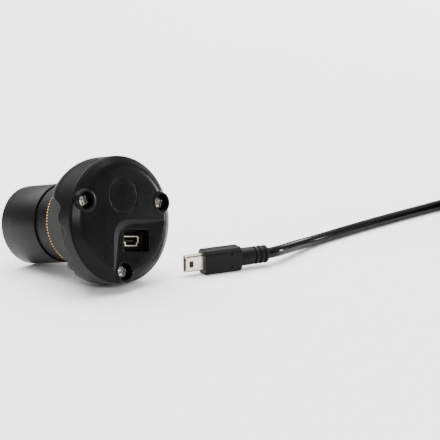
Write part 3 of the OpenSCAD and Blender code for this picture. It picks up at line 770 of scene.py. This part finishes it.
def make_small_plug():
    """The mini-B plug, standing on its narrow side: metal shell, moulded grip and ribbed boot."""
    outline = mini_outline(MINI_W - 0.3, MINI_T - 0.3)
    hollow = mini_outline(MINI_W - 0.2, MINI_T - 0.2)

    def shell(x, y, z):
        # the wide side stands upright: the outline's u is -z here, and its v is y
        d = outline_distance(-z, y, outline)
        tube = smooth_max(np.abs(d) - 0.15, span(x, 0, SHELL_LEN + MINI_SHELL_IN), 0.12)
        latch = smooth_max(rounded_rect(x, z, 1.8, 2.6, 0.35, (2.4, 0)), y, 0.1)
        seam = np.maximum(np.abs(z) - 0.05, np.maximum(-y, 4.6 - x))
        return np.maximum(smooth_max(tube, -latch, 0.08), -seam)

    half_t, half_w = MINI_T / 2, MINI_W / 2
    high = (SHELL_LEN + MINI_SHELL_IN, half_t, half_w)
    points, quads = surface(shell, (0, -half_t, -half_w), high, 0.12)
    new_piece("mini_plug_shell_folded", points, quads, PLUG, "usb_lead",
              ["mini_plug_shell"], PLUG_METAL)
    end = SHELL_LEN + OVERMOLD_LEN

    def grip(x, y, z):
        body = moulded_bar(x, y, z, SHELL_LEN, end, OVERMOLD_T, OVERMOLD_W, 1.5, 0.5)
        for pz in (-2.8, 2.8):
            pin = np.hypot(x - SHELL_LEN - 0.7 * OVERMOLD_LEN, z - pz) - 0.55
            body = smooth_max(body, -np.maximum(pin, y + OVERMOLD_T / 2 - 0.6), 0.08)
        inside = np.maximum(outline_distance(-z, y, hollow), x - SHELL_LEN - MINI_SHELL_IN)
        return np.maximum(body, -inside)

    half_t, half_w = OVERMOLD_T / 2, OVERMOLD_W / 2
    points, quads = surface(grip, (SHELL_LEN, -half_t, -half_w), (end, half_t, half_w), 0.16)
    new_piece("mini_plug_grip", points, quads, PLUG, "usb_lead",
              ["mini_plug_overmold"], OVERMOLD)
    make_boot("mini_plug_strain_relief", PLUG @ Matrix.Translation((end * MM, 0, 0)), BOOT_LEN,
              SMALL_GROOVES, "mini_plug_boot", SMALL_BOOT_R)


def make_boot(name, place, length, grooves, node, radius=3.4):
    """A strain relief round the cord, with ring grooves that let it bend."""
    inner = CORD_D / 2
    full, neck = radius - 0.03, radius - 0.7
    outline = [(inner, 0), (full, 0)]
    for x in grooves:
        outline += [(full, x), (neck, x + 0.12), (neck, x + 0.88), (full, x + 1)]
    outline += [(full - 0.08, length), (inner, length)]
    verts, faces = lathe(round_corners(outline, 0.22, 3), 72)
    new_piece(name, along_x(verts), faces, place, "usb_lead", [node], OVERMOLD)


def make_large_plug():
    """The USB-A plug at the computer's end, lying on the coil."""
    make_boot("usb_a_strain_relief", LARGE, LARGE_BOOT, LARGE_GROOVES, "usb_a_boot")
    end = LARGE_BOOT + LARGE_BODY
    shell_start = end - LARGE_SHELL_IN

    def grip(x, y, z):
        body = moulded_bar(x, y, z, LARGE_BOOT, end, LARGE_BODY_W, LARGE_BODY_H, 1.2, 1.0)
        for side in (-1, 1):
            for n in range(5):
                rib = np.hypot(x - LARGE_BOOT - 6 - 2.2 * n, y - side * 8.1) - 0.65
                body = smooth_max(body, -rib, 0.2)
        panel = smooth_max(rounded_rect(x, y, 14, 9, 1.5, (LARGE_BOOT + 11, 0)), 3.8 - np.abs(z), 0.2)
        body = smooth_max(body, -panel, 0.25)
        return np.maximum(body, -np.maximum(rounded_rect(y, z, LARGE_W, LARGE_H, 0.3), shell_start - x))

    half_w, half_h = LARGE_BODY_W / 2, LARGE_BODY_H / 2
    points, quads = surface(grip, (LARGE_BOOT, -half_w, -half_h), (end, half_w, half_h), 0.24)
    new_piece("usb_a_grip", points, quads, LARGE, "usb_lead", ["usb_a_overmold"], OVERMOLD)

    def shell(x, y, z):
        d = rounded_rect(y, z, LARGE_W - 0.3, LARGE_H - 0.3, 0.4)
        tube = smooth_max(np.abs(d) - 0.15, span(x, shell_start, end + LARGE_SHELL), 0.12)
        for py in (-2.95, 2.95):
            for side in (-1, 1):
                hole = np.maximum(rounded_rect(x, y, 2.5, 2.5, 0.3, (end + 6.75, py)), -side * z)
                tube = smooth_max(tube, -hole, 0.08)
        return tube

    half_w, half_h = LARGE_W / 2, LARGE_H / 2
    high = (end + LARGE_SHELL, half_w, half_h)
    points, quads = surface(shell, (shell_start, -half_w, -half_h), high, 0.15)
    new_piece("usb_a_shell_folded", points, quads, LARGE, "usb_lead",
              ["usb_a_shell"], PLUG_METAL)


TIE_T, TIE_GAP, TIE_HALF_W, TIE_EASE = 0.6, 0.05, 3.5, 0.12


def make_tie():
    """A woven strap in a closed loop round the coil's section, stepped where its third layer starts."""
    c, t, gap = CORD_D, TIE_T, TIE_GAP
    flat = TIE_HALF_W - TIE_EASE
    low, high, mid = COIL_R - 2 * c, COIL_R + 2 * c, COIL_R - c
    inner = [(low - gap, t), (low - gap, t + 2 * c + gap), (mid - gap, t + 2 * c + gap),
             (mid - gap, t + 3 * c + gap), (high + gap, t + 3 * c + gap), (high + gap, t)]
    outer = [(low - t, 0), (low - t, 2 * t + 2 * c), (mid - t, 2 * t + 2 * c),
             (mid - t, 2 * t + 3 * c), (high + t, 2 * t + 3 * c), (high + t, 0)]
    a, b = round_corners(inner, 0.8), round_corners(outer, 1.0)
    n = len(a)
    verts = []
    for across, shrink in ((-TIE_HALF_W, TIE_EASE), (-flat, 0), (flat, 0), (TIE_HALF_W, TIE_EASE)):
        for (ri, zi), (ro, zo) in zip(a, b):
            mix = shrink / t
            verts.append((-(ri + (ro - ri) * mix), across, zi + (zo - zi) * mix))
        for (ri, zi), (ro, zo) in zip(a, b):
            mix = 1 - shrink / t
            verts.append((-(ri + (ro - ri) * mix), across, zi + (zo - zi) * mix))
    faces = []
    for i in range(n):
        j = (i + 1) % n
        for k in range(3):
            s, e = 2 * n * k, 2 * n * (k + 1)
            faces.append([s + i, e + i, e + j, s + j])
            faces.append([s + n + j, e + n + j, e + n + i, s + n + i])
        last = 6 * n
        faces.append([i, j, n + j, n + i])
        faces.append([last + n + i, last + n + j, last + j, last + i])
    place = Matrix.Translation(Vector((*COIL_CENTRE, 0)) * MM)
    new_piece("lead_tie_strap", verts, faces, place, "usb_lead", ["lead_tie"], TIE)


# ---------------------------------------------------------------- lead

RUN_ROUTE = [
    (63.4, -41.85, 5), (68.6, -42.2, 4.85), (75.8, -40.6, 4.35), (85.3, -38, 3.6), (95.3, -35.6, 2.75),
    (105, -34.1, 2.3), (120, -33, 2.25), (135, -32.2, 2.25), (150, -31.7, 2.25),
    (165, -31.4, 2.25), (180, -31.4, 2.3), (193, -31.8, 2.6), (206, -32.45, 2.85),
]
TAIL_ROUTE = [
    (230.3, -43.8, 11.85), (235.8, -53.3, 12.9), (237.7, -64.2, 15.4),
    (235.2, -73.7, 17.2), (228.2, -80.7, 18), LARGE_END,
]
COIL_CENTRE = (206, -64.2)
COIL_R = 25
COIL_LIFT = TIE_T + CORD_D / 2
# Column and layer of each turn of the coil, column 0 outermost
TURNS = [(0, 0), (1, 0), (2, 0), (3, 0), (3, 1), (2, 1), (1, 1), (0, 1), (2, 2), (1, 2), (0, 2)]
# How much of the last turn is laid
LAST_TURN = 50 / 360
# Part of each turn after which the cord eases across into the next
EASE_FROM = 0.86


def coil_points(per_turn=36):
    """The coil's turns, clockwise from above, each turn easing into the next near its end."""
    ring = [(COIL_R + (1.5 - c) * CORD_D, COIL_LIFT + k * CORD_D) for c, k in TURNS]
    points = []
    total = len(TURNS) - 1 + LAST_TURN
    for i in range(1, int(total * per_turn)):
        t = i / per_turn
        turn = int(t)
        ease = max(0.0, (t - turn - EASE_FROM) / (1 - EASE_FROM))
        ease = ease * ease * (3 - 2 * ease)
        r0, z0 = ring[turn]
        r1, z1 = ring[min(turn + 1, len(ring) - 1)]
        angle = math.pi / 2 - 2 * math.pi * t
        radius = r0 + (r1 - r0) * ease
        points.append((COIL_CENTRE[0] + radius * math.cos(angle),
                       COIL_CENTRE[1] + radius * math.sin(angle),
                       z0 + (z1 - z0) * ease))
    return points


def catmull(points, steps):
    """Extra points between the given ones, on a smooth curve through them all."""
    p = [Vector(q) for q in points]
    p = [2 * p[0] - p[1]] + p + [2 * p[-1] - p[-2]]
    made = []
    for a, b, c, d in zip(p, p[1:], p[2:], p[3:]):
        for s in range(steps):
            u = s / steps
            made.append(0.5 * (2 * b + (c - a) * u + (2 * a - 5 * b + 4 * c - d) * u * u
                               + (3 * b - a - 3 * c + d) * u * u * u))
    return made + [p[-2]]


def make_cord():
    """One curve from the small plug's boot through the coil to the large plug's boot."""
    route = catmull(RUN_ROUTE, 3) + [Vector(q) for q in coil_points()] + catmull(TAIL_ROUTE, 3)
    data = bpy.data.curves.new("lead_cord", "CURVE")
    data.dimensions = "3D"
    data.bevel_depth = CORD_D / 2 * MM
    data.bevel_resolution = 6
    data.use_fill_caps = True
    spline = data.splines.new("POLY")
    spline.points.add(len(route) - 1)
    for point, place in zip(spline.points, route):
        point.co = (*(place * MM), 1)
    spline.use_smooth = True
    cord = bpy.data.objects.new("lead_cord", data)
    data.materials.append(CABLE)
    bpy.context.scene.collection.objects.link(cord)
    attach(cord, "usb_lead")
    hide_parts("lead_run", "lead_coil", "lead_tail")


# ---------------------------------------------------------------- CAD pieces kept as they are

KEPT = {
    "housing_gasket": RUBBER, "screw_inserts": BRASS, "window_seal": RUBBER, "window_glass": GLASS,
    "window_retainer": ANODISED, "sensor_baffle": BAFFLE, "image_sensor": CERAMIC, "sensor_glass": GLASS,
    "sensor_board": GREEN, "board_spacers": BRASS, "board_connector": CREAM, "interface_board": GREEN,
    "controller_chip": INNER_BLACK, "memory_chip": INNER_BLACK, "crystal_oscillator": PLUG_METAL,
    "board_capacitors": TAN, "usb_socket_contacts": GOLD, "mini_plug_insulator": INNER_BLACK,
    "mini_plug_contacts": GOLD, "usb_a_insulator": WHITE, "usb_a_contacts": GOLD,
}


def finish_kept():
    """Gives each CAD piece that stays its material and slightly eased edges."""
    for name, material in KEPT.items():
        piece = frame["nodes"][name]
        piece.data.materials.clear()
        piece.data.materials.append(material)
        bevel = piece.modifiers.new("eased_edges", "BEVEL")
        bevel.width = 0.04 * MM
        bevel.segments = 2
        bevel.limit_method = "ANGLE"


# ---------------------------------------------------------------- floor and light

def make_floor():
    """A wide white floor."""
    bpy.ops.mesh.primitive_plane_add(size=6)
    floor = bpy.context.object
    floor.name = "floor"
    material = bpy.data.materials.new("floor_white")
    material.use_nodes = True
    bsdf = material.node_tree.nodes["Principled BSDF"]
    bsdf.inputs["Base Color"].default_value = (0.92, 0.92, 0.92, 1)
    bsdf.inputs["Roughness"].default_value = 0.8
    bsdf.inputs["Specular IOR Level"].default_value = 0.2
    floor.data.materials.append(material)


def area_light(name, place, size, energy, target=(0.0, 0.0, 0.025)):
    """A rectangular lamp turned towards a point."""
    data = bpy.data.lights.new(name, "AREA")
    data.shape = "RECTANGLE"
    data.size, data.size_y = size
    data.energy = energy
    lamp = bpy.data.objects.new(name, data)
    lamp.location = place
    lamp.rotation_mode = "QUATERNION"
    lamp.rotation_quaternion = (Vector(target) - Vector(place)).to_track_quat("-Z", "Y")
    bpy.context.scene.collection.objects.link(lamp)


def make_world():
    """A studio with a bright ceiling and darker walls."""
    world = bpy.data.worlds.new("studio")
    world.use_nodes = True
    nodes, links = world.node_tree.nodes, world.node_tree.links
    background = nodes["Background"]
    background.inputs["Strength"].default_value = 1.0
    direction = nodes.new("ShaderNodeTexCoord").outputs["Generated"]
    split = nodes.new("ShaderNodeSeparateXYZ")
    links.new(direction, split.inputs["Vector"])
    tall = nodes.new("ShaderNodeMapRange")
    tall.inputs["From Min"].default_value = -1.0
    tall.inputs["From Max"].default_value = 1.0
    links.new(split.outputs["Z"], tall.inputs["Value"])
    shades = nodes.new("ShaderNodeValToRGB")
    shades.color_ramp.elements[0].position = 0.55
    shades.color_ramp.elements[0].color = (0.10, 0.10, 0.10, 1)
    shades.color_ramp.elements[1].position = 0.95
    shades.color_ramp.elements[1].color = (1.5, 1.5, 1.5, 1)
    links.new(tall.outputs["Result"], shades.inputs["Fac"])
    links.new(shades.outputs["Color"], background.inputs["Color"])
    bpy.context.scene.world = world


# Head's radius and height, shank's radius and length
COVER_SCREW = (2.6, 1.9, 1.45, 5.7)
BOARD_SCREW = (1.9, 1.3, 1, 9.7)
BOARD_SCREW_CIRCLE_R = 14
BOARD_SCREW_ANGLES = [math.radians(a) for a in (90, 210, 330)]
BOARD_SCREW_PLACES = [(BOARD_SCREW_CIRCLE_R * math.cos(a), BOARD_SCREW_CIRCLE_R * math.sin(a))
                      for a in BOARD_SCREW_ANGLES]

make_rear_cover()
make_front_housing()
make_mount_insert()
make_washer()
make_nosepiece()
make_screws("cover_screws_pan", ["cover_screws"], SCREW_PLACES, WELL_FLOOR_Y, COVER_SCREW, 0.1)
make_screws("board_screws_pan", ["board_screws"], BOARD_SCREW_PLACES, BOARD_Y, BOARD_SCREW, 0.12)
make_socket()
make_small_plug()
make_large_plug()
make_tie()
make_cord()
finish_kept()
make_floor()
make_world()
area_light("ceiling_softbox", (0.3, 0.9, 2.0), (3.2, 3.2), 210, (0.2, 0.5, 0))
area_light("right_softbox", (1.0, 0.36, 0.3), (0.25, 0.3), 2.5)
area_light("strip_right", (0.9, -0.42, 0.12), (0.1, 0.22), 7)
area_light("strip_rear", (-0.34, -0.84, 0.42), (0.14, 0.14), 5)
